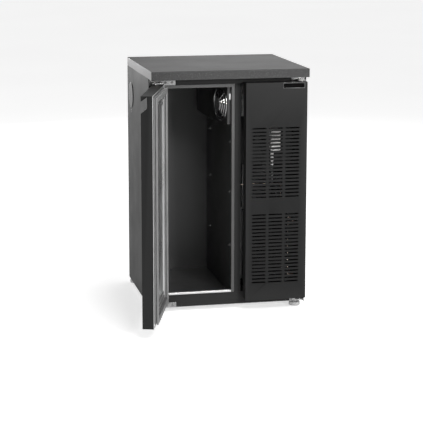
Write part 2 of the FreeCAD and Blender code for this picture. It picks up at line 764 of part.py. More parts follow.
def condenser():
    """Finned block with its end bends, the shroud with the motor's strap, the motor and the wheel."""
    coil = [block("warm_coil", ("condenser_left", "condenser_right"), ("condenser_front", "condenser_back"),
                  ("condenser_bottom", "condenser_top"))]
    for column, depth in (("front", "condenser_front + 10"), ("back", "condenser_back - 10")):
        for number in range(5):
            bend = doc.addObject("Part::Torus", f"bend_{column}_{number}")
            bind(bend, Radius1=12, Radius2="pipe_radius")
            bend.Angle3 = 180
            bend.Placement.Rotation = FreeCAD.Rotation(FreeCAD.Vector(1, 0, 0), FreeCAD.Vector(0, 0, -1),
                                                       FreeCAD.Vector(0, 1, 0), "XZY")
            place(bend, "condenser_right", depth, f"condenser_bottom + 25 + {number * 50}")
            coil.append(bend)
    keep(fuse("warm_coil_brazed", *coil), "condenser_coil")

    body = new_body("shroud_body", y="condenser_back + 1")
    plate = sketch(body, "y", "0")
    rectangle(plate, ("condenser_left - 4", "condenser_right + 1"),
              ("condenser_bottom - 4", "condenser_top + 4"))
    pad(body, plate, "gauge", "y")
    rim = sketch(body, "y", "gauge")
    circle(rim, "warm_fan_x", "warm_fan_z", "warm_fan_radius + 4.5")
    pad(body, rim, "24", "y")
    bore = sketch(body, "y", "-1")
    circle(bore, "warm_fan_x", "warm_fan_z", "warm_fan_radius + 3")
    pocket(body, bore, "40", "y")

    strap_outside = block("strap_outer", ("condenser_left - 3", "condenser_right"),
                          ("condenser_back + 1 + gauge", "motor_face + 2"),
                          ("warm_fan_z - 8", "warm_fan_z + 8"))
    strap_inside = block("strap_inner", ("condenser_left - 1", "condenser_right - 2"),
                         ("condenser_back", "motor_face"), ("warm_fan_z - 9", "warm_fan_z + 9"))
    rim_space = cylinder("strap_rim", ("warm_fan_x", "condenser_back", "warm_fan_z"), "y",
                         "warm_fan_radius + 4.5", "27")
    strap = cut("strap_cut", strap_outside, strap_inside, rim_space)
    keep(fuse("shroud_welded", body, strap), "condenser_shroud")

    motor = new_body("motor_body")
    profile = sketch(motor, "y", "0")
    outline(profile, (("0", "0"), ("34", "0"), ("38", "4"), ("38", "34"), ("30", "42"), ("12", "42"),
                      ("12", "46"), ("0", "46")))
    revolve(motor, profile)
    turned(motor, (1, 0, 0), 90)
    place(motor, "warm_fan_x", "motor_face", "warm_fan_z")
    keep(motor, "condenser_fan_motor")

    wheel = rotor("warm_wheel", 5, value("warm_fan_radius"), 22, 20)
    turned(wheel, (1, 0, 0), 90)
    place(wheel, "warm_fan_x", "condenser_back + 41.5", "warm_fan_z")
    keep(wheel, "condenser_fan_wheel")


def compressor():
    """Hermetic compressor on its plate and grommets, its relay box, and the tray that it warms."""
    body = new_body("shell_body", "compressor_x", "compressor_y")
    profile = sketch(body, "y", "0")
    seam = "compressor_bottom + 87"
    outline(profile, (("0", "compressor_bottom"), ("compressor_radius - 14", "compressor_bottom"),
                      ("shell_radius", "compressor_bottom + 12"), ("shell_radius", f"{seam} - 6"),
                      ("compressor_radius", f"{seam} - 4"), ("compressor_radius", f"{seam} + 4"),
                      ("shell_radius", f"{seam} + 6"), ("shell_radius", "compressor_top - 34"),
                      ("compressor_radius - 14", "compressor_top - 12"),
                      ("compressor_radius - 36", "compressor_top"), ("0", "compressor_top")))
    revolve(body, profile)
    plate = block("mount_plate", ("compressor_x - 86", "compressor_x + 86"),
                  ("compressor_y - 90", "compressor_y + 90"),
                  ("compressor_bottom - 3", "compressor_bottom"))
    keep(fuse("compressor_welded", body, plate), "compressor")
    grommets = []
    for column in (-74, 74):
        for line in (-78, 78):
            grommets.append(cylinder(f"grommet_{column}_{line}",
                                     (f"compressor_x + {column}", f"compressor_y + {line}", "pan_top"), "z",
                                     "10", "compressor_bottom - 3 - pan_top"))
    keep(group("grommets", grommets), "compressor_grommets")

    relay = block("relay_outside", ("compressor_x + 66", "compressor_x + 98"),
                  ("compressor_y - 22", "compressor_y + 22"), ("relay_bottom", "relay_top"))
    around = cylinder("relay_space", ("compressor_x", "compressor_y", "relay_bottom - 1"), "z",
                      "shell_radius + 0.05", "relay_top - relay_bottom + 2")
    keep(cut("relay_cut", relay, around), "relay_box")
    keep(tray("hot_tray", ("compressor_x - 65", "compressor_x + 60"),
              ("compressor_y - 55", "compressor_y + 60"),
              ("hot_tray_bottom", "hot_tray_bottom + 20")), "evaporation_tray")


def refrigerant_circuit():
    """Pipes from the compressor round the circuit and back, and the filter drier between two of them."""
    discharge = pipe("discharge", (("compressor_x + shell_radius", "compressor_y", "gas_z"),
                                   ("pipe_x", "compressor_y", "gas_z"),
                                   ("pipe_x", "compressor_y", "coil_inlet_z"),
                                   ("pipe_x", "condenser_front + 10", "coil_inlet_z"),
                                   ("condenser_right", "condenser_front + 10", "coil_inlet_z")),
                     "pipe_radius", 12)
    suction = pipe("suction", (("compressor_x - (shell_radius)", "compressor_y", "gas_z"),
                               ("riser_x", "compressor_y", "gas_z"), ("riser_x", "suction_y", "suction_z"),
                               ("cavity_right - 3", "suction_y", "suction_z")), "pipe_radius", 12)
    liquid = pipe("liquid", (("condenser_right", "condenser_back - 10", "liquid_z"),
                             ("pipe_x", "condenser_back - 10", "liquid_z"),
                             ("pipe_x", "drier_front", "liquid_z")), "pipe_radius", 12)
    capillary = pipe("capillary", (("pipe_x", "drier_front + drier_length", "liquid_z"),
                                   ("pipe_x", "capillary_y", "liquid_z"),
                                   ("pipe_x", "capillary_y", "loop_z"), ("loop_x", "capillary_y", "loop_z"),
                                   ("loop_x", "capillary_y", "suction_z"),
                                   ("cavity_right - 3", "capillary_y", "suction_z")),
                     "capillary_radius", 8)
    keep(group("pipes", (discharge, suction, liquid, capillary)), "refrigerant_pipes")

    drier = new_body("drier_body")
    profile = sketch(drier, "y", "0")
    outline(profile, (("0", "0"), ("5", "0"), ("5", "6"), ("10", "16"), ("10", "drier_length - 16"),
                      ("5", "drier_length - 6"), ("5", "drier_length"), ("0", "drier_length")))
    revolve(drier, profile)
    turned(drier, (1, 0, 0), -90)
    place(drier, "pipe_x", "drier_front", "liquid_z")
    keep(drier, "filter_drier")


def controls():
    """Control plate with the white control box, thermostat knob, wiring and the mains inlet."""
    keep(block("plate", ("partition_right", "plate_right"), ("plate_y", "plate_y + 2"),
               ("plate_bottom", "plate_top")), "control_plate")
    body = new_body("control_body")
    face = sketch(body, "z", "control_z")
    rectangle(face, ("control_x", "control_x + control_width"), ("plate_y - control_depth", "plate_y"))
    shell = pad(body, face, "control_height", "z")
    front = value("plate_y - control_depth")
    fillet(body, shell, lambda edge: edge.BoundBox.YMax < front + 0.01, "3")
    keep(body, "control_box")

    knob = new_body("knob_body")
    profile = sketch(knob, "y", "0")
    outline(profile, (("0", "0"), ("knob_radius", "0"), ("knob_radius", "4"), ("knob_radius - 5", "5"),
                      ("knob_radius - 6", "knob_depth - 2"), ("knob_radius - 8", "knob_depth"),
                      ("0", "knob_depth")))
    revolve(knob, profile)
    mark = sketch(knob, "z", "knob_depth - 2")
    rectangle(mark, ("-1", "1"), ("4", "16"))
    pocket(knob, mark, "4", "z")
    turned(knob, (1, 0, 0), 90)
    place(knob, "knob_x", "plate_y - 0.3", "knob_z")
    keep(knob, "thermostat_knob")

    start_x = "control_x + 10"
    start_y = "plate_y - control_depth / 2"
    end_x = "compressor_x + 88"
    end_y = "compressor_y + 17"
    loom = pipe("loom", ((start_x, start_y, "control_z"), (start_x, start_y, "loom_z"),
                         (start_x, "loom_y", "loom_z"), (end_x, "loom_y", "loom_z"),
                         (end_x, end_y, "loom_z"), (end_x, end_y, "relay_top")), "pipe_radius", 18)
    keep(loom, "wiring_loom")

    flange = block("inlet_flange", ("inlet_left - 6", "inlet_right + 6"), ("back_face", "cabinet_depth"),
                   ("inlet_bottom - 4", "inlet_top + 4"))
    socket = block("inlet_socket", ("inlet_left", "inlet_right"), ("back_face - inlet_reach", "back_face"),
                   ("inlet_bottom", "inlet_top"))
    hollow = block("inlet_hollow", ("inlet_left + 4", "inlet_right - 4"),
                   ("back_face - inlet_reach + 6", "cabinet_depth + 1"),
                   ("inlet_bottom + 4", "inlet_top - 4"))
    keep(cut("inlet_cut", fuse("inlet_body", flange, socket), hollow), "mains_inlet")


# ---------------------------------------------------------------- hinges

def bracket(name, flange_x, tongue_x, pivot_x, flange_z, tongue_z):
    """Angle bracket: a flange screwed to the frame and a tongue that carries the pin."""
    flange = block(name + "_flange", flange_x, ("front - bracket_gauge", "front"), flange_z)
    tongue = block(name + "_tongue", tongue_x, ("pivot_y - 11", "front - bracket_gauge"),
                   (tongue_z, f"{tongue_z} + bracket_gauge"))
    hole = cylinder(name + "_hole", (pivot_x, "pivot_y", f"{tongue_z} - 1"), "z", "pin_radius",
                    "bracket_gauge + 2")
    return cut(name, fuse(name + "_plates", flange, tongue), hole)


def hinges():
    """Top and bottom brackets for the door and the service panel, their pins and their screws."""
    low = ("pan_top", "leaf_bottom - 4")
    high = ("strip_top + 1", "body_top - 2")
    top_tongue = "leaf_top + 4"
    low_tongue = "leaf_bottom - 4 - bracket_gauge"
    door = (("2", "92"), ("door_pivot_x - 12", "door_pivot_x + 20"), "door_pivot_x")
    panel = (("panel_pivot_x - 27", "inner_right"), ("panel_pivot_x - 14", "panel_pivot_x + 12"),
             "panel_pivot_x")
    for leaf, shape in (("door", door), ("panel", panel)):
        upper = bracket(f"{leaf}_top", *shape, high, top_tongue)
        lower = bracket(f"{leaf}_low", *shape, low, low_tongue)
        keep(group(f"{leaf}_brackets", (upper, lower)), f"{leaf}_hinge_brackets")
    pins = []
    for leaf, x in (("door", "door_pivot_x"), ("panel", "panel_pivot_x")):
        for end, z in (("top", "leaf_top - pin_reach"), ("low", low_tongue)):
            pins.append(cylinder(f"{leaf}_{end}_pin", (x, "pivot_y", z), "z", "pin_radius",
                                 "pin_reach + 4 + bracket_gauge"))
    keep(group("pins", pins), "hinge_pins")


def cabinet_screws():
    """Screws of the hinge brackets, the back panel, and the one below the port on the left side."""
    screws = [cylinder("side_screw", ("-1.5", "port_y - 2", "port_z - 58"), "x", "4", "1.5")]
    for number, x in enumerate(("58", "80", "panel_pivot_x - 21", "panel_pivot_x + 17")):
        for end, z in (("low", "leaf_bottom - 15"), ("top", "leaf_top + 3")):
            screws.append(cylinder(f"bracket_screw_{number}_{end}", (x, "front - bracket_gauge - 2", z),
                                   "y", "4", "2"))
    for column, x in enumerate(("12", "cabinet_width / 2", "cabinet_width - 12")):
        for line, z in enumerate(("foot_height + 14", "300", "560", "body_top - 14")):
            screws.append(cylinder(f"back_screw_{column}_{line}", (x, "back_face", z), "y", "4", "1.8"))
    keep(group("screws", screws), "cabinet_screws")


# ---------------------------------------------------------------- the door, built closed and swung open

def door_body(name):
    """Body whose own origin is on the door's hinge axis, swung to the open position."""
    body = new_body(name, "door_pivot_x", "pivot_y")
    body.Placement.Rotation = FreeCAD.Rotation(FreeCAD.Vector(0, 0, 1), -1)
    bind(body, Placement__Rotation__Angle="-door_swing")
    return body


DOOR_X = {"left": "(door_left - door_pivot_x)", "right": "(door_right - door_pivot_x)"}
FACE_Y = "(leaf_face - pivot_y)"
BACK_Y = "(leaf_inside - pivot_y)"


def foam_section():
    """Section of the space inside the door, clear of the grip."""
    return ((f"{FACE_Y} + leaf_gauge", "leaf_bottom + leaf_gauge"),
            (f"{FACE_Y} + leaf_gauge", "grip_bottom - 2 * leaf_gauge"),
            (f"{FACE_Y} + grip_depth + leaf_gauge", "grip_bottom + grip_slope - leaf_gauge"),
            (f"{FACE_Y} + grip_depth + leaf_gauge", "leaf_top - leaf_gauge"),
            (BACK_Y, "leaf_top - leaf_gauge"),
            (BACK_Y, "leaf_bottom + leaf_gauge"))


def bush_bore(body, start, length):
    """Round hole on the hinge axis."""
    hole = sketch(body, "z", start)
    circle(hole, "0", "0", "bush_radius")
    pocket(body, hole, length, "z")


def door():
    """Folded skin with a full-width grip, foam, bright inner panel, magnetic seal and bushes."""
    skin = door_body("door_skin_body")
    side = sketch(skin, "x", DOOR_X["left"])
    rectangle(side, (FACE_Y, BACK_Y), ("leaf_bottom", "leaf_top"))
    pad(skin, side, "door_right - door_left", "x")
    hollow = sketch(skin, "x", f"{DOOR_X['left']} + leaf_gauge")
    outline(hollow, foam_section())
    pocket(skin, hollow, "door_right - door_left - 2 * leaf_gauge", "x")
    grip = sketch(skin, "x", "grip_start - door_pivot_x")
    outline(grip, ((f"{FACE_Y} - 1", "leaf_top - grip_lip - 1"),
                   (f"{FACE_Y} + grip_depth", "leaf_top - 3"),
                   (f"{FACE_Y} + grip_depth", "grip_bottom + grip_slope"),
                   (f"{FACE_Y} - 1", "grip_bottom - 1")))
    pocket(skin, grip, "door_right - grip_start + 1", "x")
    bush_bore(skin, "leaf_top - bush_length", "bush_length + 1")
    bush_bore(skin, "leaf_bottom - 1", "bush_length + 1")
    keep(skin, "door_skin")

    foam = door_body("door_foam_body")
    section = sketch(foam, "x", f"{DOOR_X['left']} + leaf_gauge")
    inner = [(x if x != BACK_Y else f"{BACK_Y} - liner_gauge", z) for x, z in foam_section()]
    outline(section, inner)
    pad(foam, section, "door_right - door_left - 2 * leaf_gauge", "x")
    bush_bore(foam, "leaf_bottom", "bush_length")
    keep(foam, "door_foam")

    panel = door_body("door_panel_body")
    face = sketch(panel, "y", f"{BACK_Y} - liner_gauge")
    rectangle(face, (f"{DOOR_X['left']} + leaf_gauge", f"{DOOR_X['right']} - leaf_gauge"),
              ("leaf_bottom + leaf_gauge", "leaf_top - leaf_gauge"))
    pad(panel, face, "liner_gauge", "y")
    keep(panel, "door_inner_panel")

    seal = door_body("door_seal_body")
    ring = sketch(seal, "y", BACK_Y)
    left = "seal_left - door_pivot_x"
    right = "seal_right - door_pivot_x"
    rectangle(ring, (left, right), ("seal_bottom", "seal_top"))
    rectangle(ring, (f"{left} + seal_width", f"{right} - seal_width"),
              ("seal_bottom + seal_width", "seal_top - seal_width"))
    pad(seal, ring, "seal_height", "y")
    keep(seal, "door_seal")

    rings = []
    for end, z in (("top", "leaf_top - bush_length"), ("low", "leaf_bottom")):
        sleeve = cylinder(f"{end}_sleeve", ("door_pivot_x", "pivot_y", z), "z", "bush_radius",
                          "bush_length")
        bore = cylinder(f"{end}_bore", ("door_pivot_x", "pivot_y", f"{z} - 1"), "z",
                        "pin_radius + pin_clearance", "bush_length + 2")
        rings.append(cut(f"{end}_bush", sleeve, bore))
    keep(group("bushes", rings), "door_bushes")


# ---------------------------------------------------------------- service panel and feet

def service_panel():
    """Louvred steel pan that turns on pins in its right edge, its badge plate, and its catches."""
    body = new_body("panel_body")
    face = sketch(body, "y", "leaf_face")
    rectangle(face, ("panel_left", "panel_right"), ("leaf_bottom", "leaf_top"))
    pad(body, face, "panel_depth", "y")
    inside = sketch(body, "y", "leaf_face + gauge")
    rectangle(inside, ("panel_left + gauge", "panel_right - gauge"),
              ("leaf_bottom + gauge", "leaf_top - gauge"))
    pocket(body, inside, "panel_depth", "y")
    for first_z in ("lower_slots_z", "upper_slots_z"):
        slot = sketch(body, "y", "leaf_face - 1")
        obround(slot, "slot_first_x", first_z, "slot_length", "slot_height")
        cutter = pocket(body, slot, "gauge + 2", "y")
        pattern(body, cutter, (("x", "slot_pitch_x", 3), ("z", "slot_pitch_z", 20)))
    for start in ("leaf_top - gauge - 1", "leaf_bottom - 1"):
        hole = sketch(body, "z", start)
        circle(hole, "panel_pivot_x", "pivot_y", "pin_radius + pin_clearance")
        pocket(body, hole, "gauge + 2", "z")
    keep(body, "service_panel")

    badge = new_body("badge_body")
    plate = sketch(badge, "y", "leaf_face - badge_proud")
    rectangle(plate, ("badge_left", "badge_right"), ("badge_bottom", "badge_bottom + badge_height"))
    slab = pad(badge, plate, "badge_proud", "y")
    fillet(badge, slab, lambda edge: edge.Length < value("badge_proud") + 0.01, "2")
    keep(badge, "badge_plate")

    catches = []
    for low, high in CATCH_SCREWS:
        catches.append(block(f"catch_{low}", ("panel_left + gauge", "panel_left + gauge + 10"),
                             ("panel_back - 20", "panel_back"), (low - 8, high + 8)))
        for height in (low, high):
            catches.append(cylinder(f"catch_screw_{height}", ("panel_left - 1.2", "panel_back - 9", height),
                                    "x", "2.6", "1.2"))
    keep(group("catches", catches), "panel_catches")


def feet():
    """Four round levelling feet, each on a threaded stud."""
    for side, end, x, y in FOOT_PLACES:
        body = new_body(f"foot_{side}_{end}_body", x, y)
        profile = sketch(body, "y", "0")
        outline(profile, (("0", "0"), ("foot_radius - 2", "0"), ("foot_radius", "2"),
                          ("foot_radius", "foot_height - 6"), ("foot_radius - 2", "foot_height - 4"),
                          ("foot_radius - 10", "foot_height - 4"),
                          ("foot_radius - 10", "foot_height - 0.4"), ("stud_radius", "foot_height - 0.4"),
                          ("stud_radius", "stud_top"), ("0", "stud_top")))
        revolve(body, profile)
        keep(body, f"foot_{end}_{side}")


worktop()
side_panels()
back_panel()
base_pan()
face_frame()
cold_walls()
line_port()
shelf_clips()
evaporator_cover()
cold_fan()
evaporator_parts()
condenser()
compressor()
refrigerant_circuit()
controls()
hinges()
cabinet_screws()
door()
service_panel()
feet()
doc.recompute()

for item in doc.Objects:
    if {"Invalid", "Error"} & set(item.State):
        raise ValueError(f"{item.Label} failed: {item.State}")

os.makedirs("parts", exist_ok=True)
for item in nodes:
    if item.Shape.isNull() or not item.Shape.isValid():
        raise ValueError(f"{item.Label} has no valid shape")
    item.Shape.exportStep(f"parts/{item.Label}.step")
print(len(nodes), "sub-parts written")
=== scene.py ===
"""Looks of the under-counter keg fridge: softened sheet metal, procedural finishes, studio and camera."""
import json
import math

import bmesh
import bpy
from mathutils import Matrix, Vector


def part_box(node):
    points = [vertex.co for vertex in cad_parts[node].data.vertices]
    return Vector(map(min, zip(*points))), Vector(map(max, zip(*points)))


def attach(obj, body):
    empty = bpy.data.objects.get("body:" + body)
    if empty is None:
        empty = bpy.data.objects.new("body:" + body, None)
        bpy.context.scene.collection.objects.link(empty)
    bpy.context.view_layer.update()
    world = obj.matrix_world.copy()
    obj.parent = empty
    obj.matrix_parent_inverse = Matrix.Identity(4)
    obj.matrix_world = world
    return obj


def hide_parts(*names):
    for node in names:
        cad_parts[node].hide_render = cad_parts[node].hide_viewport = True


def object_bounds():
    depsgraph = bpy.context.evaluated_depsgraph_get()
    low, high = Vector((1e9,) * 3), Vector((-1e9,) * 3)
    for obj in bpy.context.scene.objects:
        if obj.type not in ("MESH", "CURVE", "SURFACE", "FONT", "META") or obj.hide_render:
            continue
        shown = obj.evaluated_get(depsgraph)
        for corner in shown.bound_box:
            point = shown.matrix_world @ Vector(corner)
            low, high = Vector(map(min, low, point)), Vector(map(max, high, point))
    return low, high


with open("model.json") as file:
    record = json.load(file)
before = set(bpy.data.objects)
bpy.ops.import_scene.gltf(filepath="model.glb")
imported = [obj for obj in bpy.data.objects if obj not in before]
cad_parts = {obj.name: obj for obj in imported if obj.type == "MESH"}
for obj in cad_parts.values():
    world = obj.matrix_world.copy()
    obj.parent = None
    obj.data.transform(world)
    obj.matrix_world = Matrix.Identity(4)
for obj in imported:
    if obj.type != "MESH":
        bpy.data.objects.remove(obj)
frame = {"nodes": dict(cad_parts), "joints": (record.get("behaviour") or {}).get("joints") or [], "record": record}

cad_box = [list(corner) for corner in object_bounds()]

MM = 0.001
WELD = 1e-5  # points of a CAD mesh closer than this are one point
JOINTS = {joint["name"]: joint for joint in frame["joints"]}
BODY_OF = {node: body for body, nodes in frame["record"]["behaviour"]["bodies"].items() for node in nodes}
SLOT_OF = {part["node"]: part["material_slot"] for part in frame["record"]["subparts"]}
PIVOT = Vector(JOINTS["door_swing"]["pos_m"])
SWING = math.radians(JOINTS["door_swing"]["range_deg"][1])
OPEN = Matrix.Translation(PIVOT) @ Matrix.Rotation(-SWING, 4, "Z") @ Matrix.Translation(-PIVOT)
SHUT = OPEN.inverted()


def span(node, turn=Matrix.Identity(4)):
    """Lowest and highest corner of a CAD node after a turn, such as the door's turn back to shut."""
    points = [turn @ vertex.co for vertex in frame["nodes"][node].data.vertices]
    low = Vector([min(point[axis] for point in points) for axis in range(3)])
    high = Vector([max(point[axis] for point in points) for axis in range(3)])
    return low, high


# ---------------------------------------------------------------- materials

def new_material(name):
    """Empty node material, its node tree and its Principled shader."""
    material = bpy.data.materials.new(name)
    material.use_nodes = True
    tree = material.node_tree
    shader = tree.nodes["Principled BSDF"]
    return material, tree, shader


def add(tree, kind, **inputs):
    """Add a node and set its inputs; an underscore in a name stands for a space."""
    node = tree.nodes.new(kind)
    for name, number in inputs.items():
        node.inputs[name.replace("_", " ")].default_value = number
    return node


def noise(tree, scale, detail=3.0, stretch=(1, 1, 1), roughness=0.55):
    """Noise in metres of the object's own space, stretched along an axis where asked."""
    place = tree.nodes.new("ShaderNodeTexCoord")
    mapping = add(tree, "ShaderNodeMapping", Scale=stretch)
    texture = add(tree, "ShaderNodeTexNoise", Scale=scale, Detail=detail, Roughness=roughness)
    tree.links.new(place.outputs["Object"], mapping.inputs["Vector"])
    tree.links.new(mapping.outputs["Vector"], texture.inputs["Vector"])
    return texture.outputs["Fac"]


def ranged(tree, value, low, high, start=0.3, end=0.7):
    """Map a 0 to 1 value to a narrower range."""
    node = add(tree, "ShaderNodeMapRange", From_Min=start, From_Max=end, To_Min=low, To_Max=high)
    tree.links.new(value, node.inputs["Value"])
    return node.outputs["Result"]


def mixed(tree, factor, first, second):
    """Mix two colours; each is a colour or a socket."""
    node = tree.nodes.new("ShaderNodeMix")
    node.data_type = "RGBA"
    for socket, colour in ((node.inputs[6], first), (node.inputs[7], second)):
        if isinstance(colour, bpy.types.NodeSocket):
            tree.links.new(colour, socket)
        else:
            socket.default_value = (*colour, 1)
    tree.links.new(factor, node.inputs[0])
    return node.outputs[2]


def surface(name, dark, light, rough, metallic=0.0, patch=9, grain=600, stretch=(1, 1, 1), bump=0.04,
            wear=None, speckle=None, coat=0.0, anisotropic=0.0, ior=1.5):
    """General finish: patchy colour and roughness, fine grain bump, and optional wear and speckle.

    patch and grain are noise scales per metre.  wear is a strength and the colour of worn edges;
    speckle is a noise scale, the level where dots start, and their colour.
    """
    material, tree, shader = new_material(name)
    patches = noise(tree, patch, 4.0)
    grains = noise(tree, grain, 2.0, stretch)
    colour = mixed(tree, ranged(tree, patches, 0, 1), dark, light)
    glint = [channel * 1.35 for channel in light]
    fine = mixed(tree, ranged(tree, grains, 0, 0.35), colour, glint)
    if speckle:
        scale, start, dot_colour = speckle
        dots = ranged(tree, noise(tree, scale, 1.0), 0, 1, start, start + 0.06)
        fine = mixed(tree, dots, fine, dot_colour)
    if wear:
        strength, worn_colour = wear
        geometry = tree.nodes.new("ShaderNodeNewGeometry")
        edge = ranged(tree, geometry.outputs["Pointiness"], 0, strength, 0.52, 0.62)
        fine = mixed(tree, edge, fine, worn_colour)
    tree.links.new(fine, shader.inputs["Base Color"])
    tree.links.new(ranged(tree, patches, rough[0], rough[1]), shader.inputs["Roughness"])
    relief = add(tree, "ShaderNodeBump", Strength=bump, Distance=0.001)
    tree.links.new(grains, relief.inputs["Height"])
    tree.links.new(relief.outputs["Normal"], shader.inputs["Normal"])
    shader.inputs["Metallic"].default_value = metallic
    shader.inputs["Coat Weight"].default_value = coat
    shader.inputs["IOR"].default_value = ior
    shader.inputs["Anisotropic"].default_value = anisotropic
    return material


def grey(level, warm=0.0):
    """Neutral grey, a little warmer where asked."""
    return (level * (1 + warm), level, level * (1 - warm))


FINISH = {
    "black_steel": surface("powder_coated_steel", grey(0.0025), grey(0.005), (0.5, 0.58), bump=0.05,
                           grain=900, wear=(0.5, grey(0.05)), ior=1.2),
    "worktop_steel": surface("worktop_finish", grey(0.010), grey(0.018), (0.42, 0.47), patch=6, grain=700,
                             bump=0.05, speckle=(420, 0.6, grey(0.05)), wear=(0.4, grey(0.1)), ior=1.33),
    "bright_steel": surface("polished_stainless", grey(0.5), grey(0.6), (0.26, 0.34), metallic=1.0,
                            grain=300, stretch=(4, 4, 0.02), bump=0.02, anisotropic=0.4),
    "zinc_steel": surface("zinc_plate", grey(0.13), grey(0.21), (0.22, 0.32), metallic=1.0, patch=60,
                          grain=900, bump=0.05, wear=(0.5, grey(0.5))),
    "galvanised": surface("galvanised_sheet", grey(0.26), grey(0.34), (0.42, 0.52), metallic=1.0, patch=90,
                          grain=300, bump=0.04),
    "liner_dark": surface("liner_coating", grey(0.01), grey(0.015), (0.3, 0.4), bump=0.05, grain=700,
                          wear=(0.3, grey(0.07)), ior=1.4),
    "strip_grey": surface("breaker_strip_plastic", grey(0.036), grey(0.05), (0.3, 0.4), bump=0.03),
    "seal_grey": surface("seal_vinyl", grey(0.11), grey(0.15), (0.45, 0.58), bump=0.05, grain=500),
    "foam": surface("rigid_foam", (0.72, 0.62, 0.38), (0.8, 0.72, 0.48), (0.85, 0.95), bump=0.6, grain=300),
    "board": surface("chipboard", (0.36, 0.26, 0.16), (0.5, 0.38, 0.25), (0.75, 0.9), bump=0.4,
                     speckle=(260, 0.6, (0.65, 0.52, 0.36))),
    "aluminium_fins": surface("mill_aluminium", grey(0.5), grey(0.68), (0.3, 0.42), metallic=1.0, patch=40,
                              grain=800, bump=0.05),
    "copper": surface("copper_tube", (0.72, 0.56, 0.46), (0.86, 0.7, 0.6), (0.32, 0.44), metallic=1.0,
                      patch=50, grain=500, bump=0.05),
    "compressor_black": surface("gloss_enamel", grey(0.012), grey(0.018), (0.16, 0.26), bump=0.06,
                                grain=260, coat=0.3),
    "black_plastic": surface("moulded_black_plastic", grey(0.009), grey(0.014), (0.4, 0.5), bump=0.06,
                             grain=1100, wear=(0.2, grey(0.06)), ior=1.3),
    "dark_rubber": surface("black_rubber", grey(0.013), grey(0.02), (0.6, 0.75), bump=0.1, grain=700),
    "white_plastic": surface("white_moulding", grey(0.72), grey(0.8, 0.02), (0.26, 0.34), bump=0.03,
                             grain=900),
    "grey_plastic": surface("light_grey_moulding", grey(0.36), grey(0.44), (0.4, 0.52), bump=0.05,
                            grain=900),
    "wire_chrome": surface("chromed_wire", grey(0.68), grey(0.8), (0.12, 0.2), metallic=1.0, patch=80,
                           grain=700, bump=0.03),
    "cable_grey": surface("cable_sheath", grey(0.09), grey(0.13), (0.5, 0.62), bump=0.06, grain=800),
}


def lens_material():
    """Frosted lens over a faintly lit lamp."""
    material, tree, shader = new_material("frosted_lens")
    cloud = noise(tree, 240, 2.0)
    tree.links.new(ranged(tree, cloud, 0.2, 0.34), shader.inputs["Roughness"])
    tree.links.new(mixed(tree, cloud, grey(0.4), grey(0.5)), shader.inputs["Base Color"])
    shader.inputs["Emission Color"].default_value = (1, 1, 0.98, 1)
    shader.inputs["Emission Strength"].default_value = 0.05
    return material


FINISH["lamp_lens"] = lens_material()
FINISH["badge_black"] = surface("badge_enamel", grey(0.0008), grey(0.0016), (0.4, 0.5), bump=0.02, ior=1.08)


# ---------------------------------------------------------------- building pieces

def finished(item, name_of_slot, body, nodes=()):
    """Give a piece its finish and its body, and hide the CAD nodes it stands for."""
    item.data.materials.clear()
    item.data.materials.append(FINISH[name_of_slot])
    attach(item, body)
    if nodes:
        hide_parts(*nodes)
    return item


def rounded(item, width, segments=2, angle=32):
    """Soften the sharp edges of a mesh and shade it smooth, keeping flat faces flat."""
    for face in item.data.polygons:
        face.use_smooth = True
    bevel = item.modifiers.new("edges", "BEVEL")
    bevel.width = width
    bevel.segments = segments
    bevel.limit_method = "ANGLE"
    bevel.angle_limit = math.radians(angle)
    bevel.miter_outer = "MITER_ARC"
    flats = item.modifiers.new("flats", "WEIGHTED_NORMAL")
    flats.mode = "FACE_AREA"
    flats.weight = 100
    return item


def softened(node, width, segments):
    """Copy of a CAD node with its flat faces joined and its edges softened, in place of the node."""
    source = frame["nodes"][node]
    shape = bmesh.new()
    shape.from_mesh(source.data)
    bmesh.ops.remove_doubles(shape, verts=shape.verts, dist=WELD)
    flat = math.radians(0.8)
    bmesh.ops.dissolve_limit(shape, angle_limit=flat, verts=shape.verts, edges=shape.edges)
    mesh = bpy.data.meshes.new(node + "_look")
    shape.to_mesh(mesh)
    shape.free()
    item = bpy.data.objects.new(node + "_look", mesh)
    bpy.context.scene.collection.objects.link(item)
    rounded(item, width, segments)
    return finished(item, SLOT_OF[node], BODY_OF[node], (node,))


def kept(node):
    """CAD node shown as it is, smooth where it is round, in its procedural finish."""
    item = frame["nodes"][node]
    finish = FINISH[SLOT_OF[node]]
    if item.data.materials:
        for number in range(len(item.data.materials)):
            item.data.materials[number] = finish
    else:
        item.data.materials.append(finish)


